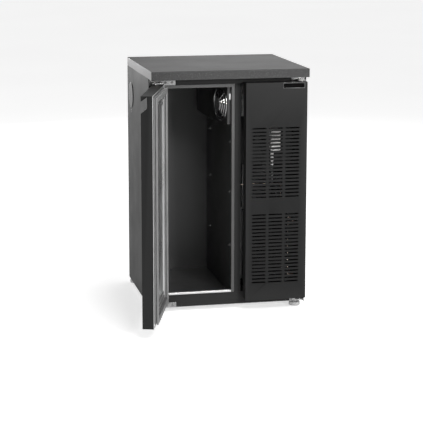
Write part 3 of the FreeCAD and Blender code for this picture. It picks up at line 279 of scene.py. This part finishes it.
class Maker:
    """Collects closed shapes into one mesh; every point is in metres."""

    def __init__(self):
        self.shape = bmesh.new()

    def skin(self, rings, loop=False):
        """Join rings of points, each to the next; close the ends, or join the last ring to the first."""
        rows = [[self.shape.verts.new(point) for point in ring] for ring in rings]
        pairs = list(zip(rows, rows[1:]))
        if loop:
            pairs.append((rows[-1], rows[0]))
        for near, far in pairs:
            for first in range(len(near)):
                second = (first + 1) % len(near)
                self.shape.faces.new((near[first], near[second], far[second], far[first]))
        if not loop:
            self.shape.faces.new(list(reversed(rows[0])))
            self.shape.faces.new(rows[-1])

    def block(self, low, high):
        """Box between two corners."""
        outline = ((low[0], low[1]), (high[0], low[1]), (high[0], high[1]), (low[0], high[1]))
        self.skin([[Vector((x, y, z)) for x, y in outline] for z in (low[2], high[2])])

    def lathe(self, centre, axis, profile, sides=40, ribs=0.0):
        """Turned shape: profile is pairs of radius and distance along the axis, in metres.

        ribs is the share of the radius by which every second point stands back.
        """
        axis = Vector(axis).normalized()
        across = axis.orthogonal().normalized()
        other = axis.cross(across)
        rings = []
        for radius, height in profile:
            ring = []
            for number in range(sides):
                angle = 2 * math.pi * number / sides
                reach = radius * (1 - ribs * (number % 2))
                offset = across * math.cos(angle) * reach + other * math.sin(angle) * reach
                ring.append(Vector(centre) + axis * height + offset)
            rings.append(ring)
        self.skin(rings)

    def tube(self, points, radius, sides=12, loop=False):
        """Round bar along a line of points."""
        points = [Vector(point) for point in points]
        count = len(points)
        rings = []
        normal = None
        for number, point in enumerate(points):
            before = points[number - 1] if loop or number else point
            after = points[(number + 1) % count] if loop or number < count - 1 else point
            along = (after - before).normalized()
            if normal is None:
                normal = along.orthogonal().normalized()
            normal = (normal - along * normal.dot(along)).normalized()
            side = along.cross(normal)
            rings.append([point + normal * math.cos(2 * math.pi * step / sides) * radius
                          + side * math.sin(2 * math.pi * step / sides) * radius for step in range(sides)])
        self.skin(rings, loop=loop)

    def screw(self, at, out, radius, height):
        """Pan head with a cross recess; its profile is shares of the radius and of the height."""
        out = Vector(out).normalized()
        across = out.orthogonal().normalized()
        other = out.cross(across)
        steps = 32
        recess_reach = 0.55
        recess_half_width = 0.13
        recess_depth = 0.6
        rings = []
        for share, level in ((1.0, 0.0), (1.0, 0.45), (0.86, 0.82), (0.62, 0.97), (0.5, 1.0), (0.34, 1.0),
                             (0.18, 1.0), (0.06, 1.0)):
            ring = []
            for number in range(steps):
                angle = 2 * math.pi * number / steps
                first = math.cos(angle) * share
                second = math.sin(angle) * share
                sunk = share < recess_reach and min(abs(first), abs(second)) < recess_half_width
                lift = height * (level - (recess_depth if sunk else 0))
                ring.append(Vector(at) + out * lift + (across * first + other * second) * radius)
            rings.append(ring)
        self.skin(rings)

    def piece(self, name, slot_name, body, nodes=(), bevel=0.0, turn=None, angle=32):
        """Turn what was collected into a named piece."""
        if turn is not None:
            bmesh.ops.transform(self.shape, matrix=turn, verts=self.shape.verts)
        bmesh.ops.recalc_face_normals(self.shape, faces=self.shape.faces)
        mesh = bpy.data.meshes.new(name)
        self.shape.to_mesh(mesh)
        self.shape.free()
        item = bpy.data.objects.new(name, mesh)
        bpy.context.scene.collection.objects.link(item)
        if bevel:
            rounded(item, bevel, angle=angle)
        else:
            for face in mesh.polygons:
                face.use_smooth = True
            mesh.set_sharp_from_angle(angle=math.radians(40))
        return finished(item, slot_name, body, nodes)


# ---------------------------------------------------------------- sheet metal and mouldings

SOFT_EDGES = {
    "worktop": 1.4, "left_side_panel": 0.4, "right_side_panel": 0.4, "back_panel": 0.3, "base_pan": 0.4,
    "front_header": 0.9, "front_sill": 0.9, "left_stile": 0.9, "mullion": 1.2, "breaker_strip": 1.2,
    "sill_strip": 1.2, "line_port_cap": 0.5, "evaporator_cover": 0.9, "evaporator_fan_frame": 0.5,
    "drip_tray": 0.4, "interior_lamp_lens": 1.4, "condenser_shroud": 0.4, "condenser_fan_motor": 0.9,
    "relay_box": 1.6, "evaporation_tray": 0.4, "control_plate": 0.4, "control_box": 1.6,
    "mains_inlet": 0.7, "door_hinge_brackets": 0.7, "panel_hinge_brackets": 0.7, "door_skin": 0.7,
    "service_panel": 0.3, "partition_panel": 0.3,
}
KEPT = ("worktop_board", "liner_left", "liner_right", "liner_floor", "liner_ceiling", "liner_back",
        "insulation_foam", "drain_tube", "refrigerant_pipes", "filter_drier", "wiring_loom", "door_foam",
        "door_bushes", "compressor_grommets", "evaporator_fan_guard")
for node, width in SOFT_EDGES.items():
    softened(node, width * MM, 3 if node in ("worktop", "control_box", "relay_box") else 2)
for node in KEPT:
    kept(node)


def upright_ring(low, high, inset, y):
    """Rectangle facing the front, inset from the edges of the box between two corners."""
    return [Vector((low.x + inset, y, low.z + inset)), Vector((high.x - inset, y, low.z + inset)),
            Vector((high.x - inset, y, high.z - inset)), Vector((low.x + inset, y, high.z - inset))]


def door_lining():
    """Polished inner panel with a raised field, and the magnetic seal's folded profile round it."""
    low, high = span("door_inner_panel", SHUT)
    seal_low, seal_high = span("door_seal", SHUT)
    back = high.y
    past_seal = 17 * MM
    field = (seal_low.x - low.x) + past_seal
    steps = ((0, 0), (1.2, 3), (9, 3.4), (10.2, 0.8), (14, 0.8), (15.2, 3), (26, 3), (27.5, 1))
    maker = Maker()
    maker.skin([upright_ring(low, high, 0, low.y), upright_ring(low, high, 0, back)]
               + [upright_ring(low, high, field + inset * MM, back + rise * MM) for inset, rise in steps])
    maker.piece("door_lining", "bright_steel", "door", ("door_inner_panel",), bevel=0.6 * MM, turn=OPEN)

    hem = ((-1.2, 0), (-1.2, 0.8), (-0.4, 1.8), (1.4, 1.8), (2.4, 0.8), (2.4, 0))
    maker = Maker()
    maker.skin([upright_ring(low, high, inset * MM, back + rise * MM) for inset, rise in hem], loop=True)
    maker.piece("door_hem", "bright_steel", "door", bevel=0.4 * MM, turn=OPEN, angle=20)

    half = ((2.5, 0), (2.5, 1.6), (0.4, 2.5), (0.0, 3.3), (0.0, 5.3), (0.5, 6.1), (4.8, 6.9), (4.8, 7.9),
            (0.5, 8.7), (0.0, 9.5), (0.0, 13.6), (1.0, 14.7), (6.4, 14.7), (7.2, 13.9))
    seal_width = 16
    seal_height = 14.7
    profile = half + tuple((seal_width - inset, height) for inset, height in reversed(half))
    depth = seal_high.y - seal_low.y
    maker = Maker()
    maker.skin([upright_ring(seal_low, seal_high, inset * MM, seal_low.y + height / seal_height * depth)
                for inset, height in profile], loop=True)
    maker.piece("seal_profile", "seal_grey", "door", ("door_seal",), bevel=0.35 * MM, turn=OPEN, angle=20)


def pins_and_screws():
    """Hinge pins with hexagon heads and washers, and recessed pan-head screws."""
    pin_reach = 31 * MM
    pin_low, pin_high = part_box("hinge_pins")
    maker = Maker()
    for joint in ("door_swing", "service_door_swing"):
        centre = JOINTS[joint]["pos_m"]
        for face, outward in ((pin_low.z, -1), (pin_high.z, 1)):
            at = Vector((centre[0], centre[1], face))
            pin = ((3.2 * MM, 0), (4 * MM, 0.8 * MM), (4 * MM, pin_reach - 1 * MM), (3.2 * MM, pin_reach))
            washer = ((7.4 * MM, -1.1 * MM), (7.8 * MM, -0.8 * MM), (7.8 * MM, -0.1 * MM), (7.4 * MM, 0))
            head = ((6.2 * MM, -0.1 * MM), (6.6 * MM, 0.5 * MM), (6.6 * MM, 2.8 * MM), (5.8 * MM, 3.6 * MM))
            maker.lathe(at, (0, 0, -outward), pin, sides=28)
            maker.lathe(at, (0, 0, outward), washer, sides=36)
            maker.lathe(at, (0, 0, outward), head, sides=6)
    maker.piece("hinge_bolts", "wire_chrome", "cabinet", ("hinge_pins",), bevel=0.3 * MM, angle=30)

    maker = Maker()
    turning_point = (Vector(cad_box[0]) + Vector(cad_box[1])) / 2
    turning_point.y = 0.1  # the open door puts the box's own middle ahead of the cabinet's
    for centre, size in islands(frame["nodes"]["cabinet_screws"].data):
        thin = min(range(3), key=lambda axis: size[axis])
        out = Vector((0, 0, 0))
        out[thin] = 1 if centre[thin] > turning_point[thin] else -1
        radius = sorted(size)[1] / 2
        at = centre - out * size[thin] / 2
        maker.screw(at, out, radius, size[thin])
    maker.piece("cross_head_screws", "zinc_steel", "cabinet", ("cabinet_screws",))


def islands(mesh):
    """Middle and size of each separate shell of a mesh."""
    shape = bmesh.new()
    shape.from_mesh(mesh)
    bmesh.ops.remove_doubles(shape, verts=shape.verts, dist=WELD)
    seen = set()
    found = []
    for start in shape.verts:
        if start in seen:
            continue
        stack = [start]
        group = []
        seen.add(start)
        while stack:
            vertex = stack.pop()
            group.append(vertex.co.copy())
            for edge in vertex.link_edges:
                other = edge.other_vert(vertex)
                if other not in seen:
                    seen.add(other)
                    stack.append(other)
        low = Vector([min(point[axis] for point in group) for axis in range(3)])
        high = Vector([max(point[axis] for point in group) for axis in range(3)])
        found.append(((low + high) / 2, high - low))
    shape.free()
    return found


def feet():
    """Round levelling feet with a ribbed skirt, an adjusting flat and a threaded stud."""
    for corner in ("front_left", "front_right", "back_left", "back_right"):
        node = "foot_" + corner
        low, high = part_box(node)
        centre = Vector(((low.x + high.x) / 2, (low.y + high.y) / 2, 0))
        maker = Maker()
        maker.lathe(centre, (0, 0, 1), ((17.5 * MM, 0), (18.5 * MM, 0.4 * MM), (20 * MM, 2 * MM),
                                        (20 * MM, 11.5 * MM), (19 * MM, 13.2 * MM), (17.6 * MM, 14 * MM)),
                    sides=72, ribs=0.035)
        maker.lathe(centre, (0, 0, 1), ((10 * MM, 13.9 * MM), (10 * MM, 16.6 * MM), (9 * MM, 17.4 * MM)),
                    sides=6)
        maker.piece(node + "_pad", "grey_plastic", BODY_OF[node], (node,), bevel=0.3 * MM, angle=40)
        maker = Maker()
        profile = [(4.4 * MM, 17.3 * MM)]
        height = 18.0
        stud_top = 41
        pitch = 1.2
        while height < stud_top:
            profile += [(4.95 * MM, height * MM), (4.4 * MM, (height + pitch / 2) * MM)]
            height += pitch
        maker.lathe(centre, (0, 0, 1), profile, sides=24)
        maker.piece(node + "_stud", "zinc_steel", BODY_OF[node])


def catches():
    """Spring catches behind the service panel's left edge, with their screws."""
    catch_height = 20 * MM  # whatever is lower is a screw
    maker = Maker()
    heads = Maker()
    for centre, size in islands(frame["nodes"]["panel_catches"].data):
        low = centre - size / 2
        high = centre + size / 2
        if size.z > catch_height:
            maker.block(low, (high.x, high.y - 6 * MM, high.z))
            maker.block((low.x + 2 * MM, high.y - 6.2 * MM, low.z + 8 * MM),
                        (high.x - 2 * MM, high.y, high.z - 8 * MM))
        else:
            heads.screw((high.x, centre.y, centre.z), (-1, 0, 0), size.z / 2, size.x)
    maker.piece("catch_blocks", "black_plastic", "service_door", ("panel_catches",), bevel=0.8 * MM)
    heads.piece("catch_screws", "black_steel", "service_door")


def shelf_clips():
    """Small folded clips with a lug and a rivet."""
    leaf = 1.1 * MM
    maker = Maker()
    middle = (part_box("liner_left")[0].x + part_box("liner_right")[1].x) / 2
    for centre, size in islands(frame["nodes"]["shelf_clips"].data):
        inward = 1 if centre.x < middle else -1
        wall = centre.x - inward * size.x / 2
        low = centre - size / 2
        high = centre + size / 2
        edges = sorted((wall, wall + inward * leaf))
        maker.block((edges[0], low.y, low.z), (edges[1], high.y, high.z))
        lug = sorted((wall + inward * 1.0 * MM, wall + inward * size.x))
        maker.block((lug[0], low.y + 1.4 * MM, low.z), (lug[1], high.y - 1.4 * MM, low.z + 1.2 * MM))
        tip = sorted((wall + inward * (size.x - leaf), wall + inward * size.x))
        maker.block((tip[0], low.y + 1.4 * MM, low.z + 1 * MM), (tip[1], high.y - 1.4 * MM, low.z + 3 * MM))
        maker.screw((wall + inward * leaf, centre.y, centre.z + 1.2 * MM), (inward, 0, 0), 1.4 * MM,
                    0.8 * MM)
    maker.piece("clip_set", "zinc_steel", "cabinet", ("shelf_clips",), bevel=0.2 * MM)


def blades(maker, centre, axis, hub, tip, depth, count, width):
    """Cambered, twisted fan blades round a hub."""
    root_pitch = 34  # degrees
    tip_pitch = 18
    tip_sweep = 0.28  # radians
    camber = 0.05
    half_thickness = 0.7 * MM
    margin = 0.8 * MM
    stations = 9
    axis = Vector(axis).normalized()
    across = axis.orthogonal().normalized()
    other = axis.cross(across)
    root = hub * 0.96
    for number in range(count):
        turn = 2 * math.pi * number / count
        rings = []
        for station in range(stations):
            share = station / (stations - 1)
            radius = root + (tip - root) * share
            pitch = math.radians(root_pitch + (tip_pitch - root_pitch) * share)
            half = width * (0.34 + 0.3 * share - 0.1 * share ** 3) * tip / radius
            sweep = tip_sweep * share ** 2
            upper = []
            lower = []
            for step in range(stations):
                along = 2 * step / (stations - 1) - 1
                angle = turn + sweep + half * along * math.cos(pitch)
                lift = along * half * radius * math.sin(pitch) + camber * radius * (1 - along * along)
                lift = max(-depth / 2 + margin, min(depth / 2 - margin, lift))
                thick = half_thickness * (1.02 - along * along)
                spot = Vector(centre) + (across * math.cos(angle) + other * math.sin(angle)) * radius
                upper.append(spot + axis * (lift + thick))
                lower.append(spot + axis * (lift - thick))
            rings.append(upper + list(reversed(lower)))
        maker.skin(rings)


def fans():
    """Both fan wheels: hub and tip radius, depth, number of blades and their width."""
    for node, joint, hub, tip, depth, count, width, slot_name in (
            ("evaporator_fan_wheel", "cold_fan_spin", 19, 52.6, 7.5, 7, 0.62, "black_plastic"),
            ("condenser_fan_wheel", "condenser_fan_spin", 22, 73.5, 20, 5, 0.85, "aluminium_fins")):
        low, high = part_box(node)
        axis = Vector(JOINTS[joint]["axis"]).normalized()
        centre = (low + high) / 2
        maker = Maker()
        half = depth / 2
        profile = ((hub - 1.5, -half), (hub, -half + 1.2), (hub, half - 2.5), (hub - 1, half - 1),
                   (hub - 3, half), (8, half), (7, half - 1), (4, half - 1))
        maker.lathe(centre, axis, [(radius * MM, level * MM) for radius, level in profile], sides=56)
        blades(maker, centre, axis, hub * MM, tip * MM, depth * MM, count, width)
        maker.piece(node + "_blades", slot_name, BODY_OF[node], (node,))


def coils():
    """Finned evaporator and condenser: thin plates on tubes, with return bends and end plates."""
    fin = 0.25 * MM
    evaporator_pitch = 3.2 * MM
    condenser_pitch = 2.4 * MM
    low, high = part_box("evaporator_coil")
    maker = Maker()
    tubes = Maker()
    y = low.y + 1 * MM
    while y < high.y - 1 * MM:
        maker.block((low.x, y, low.z), (high.x, y + fin, high.z))
        y += evaporator_pitch
    for column in (0.27, 0.73):
        for row in range(4):
            at = Vector((low.x + (high.x - low.x) * column, low.y + 4 * MM, low.z + (11 + 22 * row) * MM))
            tubes.tube((at, at + Vector((0, high.y - low.y - 8 * MM, 0))), 3.6 * MM)
    maker.piece("evaporator_fins", "aluminium_fins", "cabinet", ("evaporator_coil",))
    tubes.piece("evaporator_tubes", "copper", "cabinet")

    low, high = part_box("condenser_coil")
    bend_radius = 12
    tube_radius = 4 * MM
    plate = 1.2 * MM
    right = high.x - 16 * MM  # the fins end here and leave room for the return bends
    maker = Maker()
    x = low.x + 1.5 * MM
    while x < right - 1.5 * MM:
        maker.block((x, low.y + 0.6 * MM, low.z), (x + fin, high.y - 0.6 * MM, high.z))
        x += condenser_pitch
    for side in (low.x, right - plate):
        maker.block((side, low.y, low.z), (side + plate, high.y, high.z))
    maker.piece("condenser_fins", "compressor_black", "cabinet", ("condenser_coil",))
    bends = Maker()
    tubes = Maker()
    for y in (low.y + 10 * MM, high.y - 10 * MM):
        for row in range(5):
            middle = low.z + (25 + 50 * row) * MM
            for leg in (-bend_radius, bend_radius):
                z = middle + leg * MM
                tubes.tube(((low.x + 0.5 * MM, y, z), (right - 0.5 * MM, y, z)), tube_radius)
            arc = [(right, y, middle - bend_radius * MM)]
            for step in range(17):
                angle = math.pi * step / 16
                arc.append((right + math.sin(angle) * bend_radius * MM, y,
                            middle - math.cos(angle) * bend_radius * MM))
            bends.tube(arc, tube_radius, sides=16)
            for leg in (-bend_radius, bend_radius):
                bends.lathe((right, y, middle + leg * MM), (1, 0, 0),
                            ((5.2 * MM, -0.2 * MM), (5.2 * MM, 3 * MM), (4.2 * MM, 3.6 * MM)), sides=20)
    bends.piece("condenser_bends", "copper", "cabinet")
    tubes.piece("condenser_tubes", "compressor_black", "cabinet")


def compressor():
    """Domed steel shell with a seam, on a ribbed and bolted plate."""
    low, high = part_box("compressor")
    centre = Vector(((low.x + high.x) / 2, (low.y + high.y) / 2, 0))
    plate = 3 * MM
    base = low.z + plate
    maker = Maker()
    shell = 71
    crown = 60
    shoulder = 134
    profile = [(56, 0.2), (64, 4), (69, 9), (shell, 16), (shell, 80)]
    profile += [(73.4, 82.4), (74, 84.5), (74, 89.5), (73.4, 91.6), (shell, 94), (shell, shoulder)]
    height = (high.z - base) / MM
    for step in range(1, 13):
        angle = math.pi / 2 * step / 12
        profile.append((shell - crown * (1 - math.cos(angle)),
                        shoulder + (height - shoulder) * math.sin(angle)))
    profile.append((6, height))
    maker.lathe((centre.x, centre.y, base), (0, 0, 1), [(r * MM, h * MM) for r, h in profile], sides=96)
    maker.piece("compressor_shell", "compressor_black", "cabinet", ("compressor",))
    maker = Maker()
    inset = 6 * MM
    maker.block(low, (high.x, high.y, base))
    for x in (low.x + 30 * MM, high.x - 38 * MM):
        maker.block((x, low.y + inset, low.z + 2.8 * MM), (x + 8 * MM, high.y - inset, low.z + 6 * MM))
    maker.piece("compressor_plate", "black_steel", "cabinet", bevel=0.9 * MM)
    bolt_x = 74
    bolt_y = 78
    maker = Maker()
    for x in (-bolt_x, bolt_x):
        for y in (-bolt_y, bolt_y):
            at = Vector((centre.x + x * MM, centre.y + y * MM, base))
            maker.lathe(at, (0, 0, 1), ((9 * MM, 0), (9 * MM, 1.2 * MM), (8.6 * MM, 1.4 * MM)), sides=36)
            maker.lathe(at, (0, 0, 1), ((6 * MM, 1.3 * MM), (6 * MM, 4.8 * MM), (5.2 * MM, 5.6 * MM)),
                        sides=6)
    maker.piece("compressor_bolts", "zinc_steel", "cabinet", bevel=0.3 * MM)


def badge():
    """Plain black plate with a thin bright frame round its face."""
    low, high = span("badge_plate")
    body = BODY_OF["badge_plate"]
    lip = 0.7 * MM
    rise = 0.4 * MM
    gap = 0.2 * MM
    front = low.y
    maker = Maker()
    rim = ((0, front + rise), (0, front), (lip, front), (lip, front + rise))
    maker.skin([upright_ring(low, high, inset, y) for inset, y in rim], loop=True)
    maker.piece("badge_rim", "zinc_steel", body, bevel=0.12 * MM, angle=20)
    maker = Maker()
    maker.block((low.x + gap, front + gap, low.z + gap), (high.x - gap, high.y, high.z - gap))
    face = maker.piece("badge_face", "black_plastic", body, ("badge_plate",), bevel=0.1 * MM)
    face.data.materials[0] = FINISH["badge_black"]


def controls():
    """Fluted knob with its pointer, the control box's screws, ribs and stem, and the inlet's pins."""
    low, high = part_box("thermostat_knob")
    centre = Vector(((low.x + high.x) / 2, high.y, (low.z + high.z) / 2))
    maker = Maker()
    maker.lathe(centre, (0, -1, 0), ((18 * MM, 0), (19 * MM, 1 * MM), (19 * MM, 3 * MM), (18 * MM, 4 * MM),
                                     (14.2 * MM, 4.6 * MM)), sides=64)
    maker.lathe(centre, (0, -1, 0), ((14 * MM, 4.4 * MM), (13.2 * MM, 17.5 * MM), (12 * MM, 19.4 * MM),
                                     (10.5 * MM, 20 * MM)), sides=44, ribs=0.06)
    maker.piece("fluted_knob", "black_plastic", "knob", ("thermostat_knob",), bevel=0.2 * MM, angle=40)
    maker = Maker()
    maker.block((centre.x - 0.8 * MM, centre.y - 20 * MM, centre.z + 2 * MM),
                (centre.x + 0.8 * MM, centre.y - 19.2 * MM, centre.z + 10 * MM))
    maker.piece("knob_pointer", "white_plastic", "knob", bevel=0.2 * MM)

    low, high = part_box("control_box")
    maker = Maker()
    for z in (low.z + 7 * MM, high.z - 7 * MM):
        for x in (low.x + 6 * MM, high.x - 6 * MM):
            maker.screw((x, low.y + 0.2 * MM, z), (0, -1, 0), 2.6 * MM, 1.4 * MM)
    maker.piece("control_box_screws", "zinc_steel", "cabinet")
    maker = Maker()
    for step in range(5):
        z = low.z + (22 + 6.5 * step) * MM
        maker.block((low.x + 8 * MM, low.y - 0.5 * MM, z),
                    (high.x - 8 * MM, low.y + 0.5 * MM, z + 2.6 * MM))
    stem_length = 62 * MM
    maker.lathe((low.x + 10 * MM, (low.y + high.y) / 2, low.z + 0.2 * MM), (0, 0, -1),
                ((6 * MM, 0), (6 * MM, 6 * MM), (5.2 * MM, 8 * MM), (5 * MM, stem_length)), sides=28)
    maker.piece("control_box_cover_ribs", "white_plastic", "cabinet", bevel=0.3 * MM)
    low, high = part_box("mains_inlet")
    maker = Maker()
    middle = (low + high) / 2
    for x, z in ((-5, -1.5), (0, 1.5), (5, -1.5)):
        x = middle.x + x * MM
        z = middle.z + z * MM
        maker.block((x - 1 * MM, low.y + 5 * MM, z - 2 * MM), (x + 1 * MM, high.y - 4 * MM, z + 2 * MM))
    maker.piece("inlet_pins", "zinc_steel", "cabinet", bevel=0.3 * MM)


door_lining()
pins_and_screws()
feet()
catches()
shelf_clips()
fans()
coils()
compressor()
badge()
controls()


# ---------------------------------------------------------------- studio and camera

def floor():
    """Plain pale floor that glows a little, so that it stays as even as a studio sweep."""
    mesh = bpy.data.meshes.new("studio_floor")
    half = 40
    mesh.from_pydata([(-half, -half, 0), (half, -half, 0), (half, half, 0), (-half, half, 0)], [],
                     [(0, 1, 2, 3)])
    item = bpy.data.objects.new("studio_floor", mesh)
    bpy.context.scene.collection.objects.link(item)
    material, tree, shader = new_material("pale_floor")
    tint = mixed(tree, noise(tree, 0.6, 2.0), grey(0.86), grey(0.9))
    tree.links.new(tint, shader.inputs["Base Color"])
    tree.links.new(tint, shader.inputs["Emission Color"])
    shader.inputs["Emission Strength"].default_value = 0.54
    shader.inputs["Roughness"].default_value = 0.9
    shader.inputs["Specular IOR Level"].default_value = 0.1
    mesh.materials.append(material)


def lamp(name, place, target, size, power, spread=180):
    """Soft rectangular light that the camera doesn't see."""
    data = bpy.data.lights.new(name, "AREA")
    data.spread = math.radians(spread)
    data.shape = "RECTANGLE"
    data.size, data.size_y = size
    data.energy = power
    item = bpy.data.objects.new(name, data)
    item.location = place
    item.visible_camera = False
    item.rotation_euler = (Vector(target) - Vector(place)).to_track_quat("-Z", "Y").to_euler()
    bpy.context.scene.collection.objects.link(item)


def studio():
    """Even white surround with soft lights in front, above, behind, and behind to the left."""
    world = bpy.data.worlds.new("studio")
    bpy.context.scene.world = world
    world.use_nodes = True
    background = world.node_tree.nodes["Background"]
    background.inputs["Color"].default_value = (1, 1, 1, 1)
    background.inputs["Strength"].default_value = 0.48
    lamp("key_softbox", (1.5, -4.4, 1.5), (0.1, 0, 0.5), (0.5, 0.5), 10, 60)
    lamp("top_softbox", (0.6, 0.6, 3.2), (0, 0.1, 0.6), (2.4, 2.4), 20)
    lamp("back_softbox", (1.5, 4.2, 1.9), (0.2, 0.2, 0.85), (2.2, 1.0), 8)
    lamp("left_softbox", (-1.2, 4.4, 0.9), (-0.2, 0.2, 0.8), (1.0, 0.8), 36)
    lamp("front_softbox", (0.4, -3.0, 2.6), (0.15, 0, 0.9), (1.6, 0.5), 13, 60)


def camera():
    """View from the front left and above, with a long lens."""
    data = bpy.data.cameras.new("camera")
    data.lens = 124.8
    data.sensor_width = 36
    data.shift_y = -0.10
    data.clip_end = 200
    item = bpy.data.objects.new("camera", data)
    item.location = (-1.0606, -4.9366, 1.391)
    item.rotation_euler = (math.radians(90 - 10.11), math.radians(-0.03), math.radians(-12.09))
    bpy.context.scene.collection.objects.link(item)
    bpy.context.scene.camera = item


floor()
studio()
camera()
bpy.context.scene.view_settings.view_transform = "Standard"
bpy.context.scene.view_settings.look = "None"
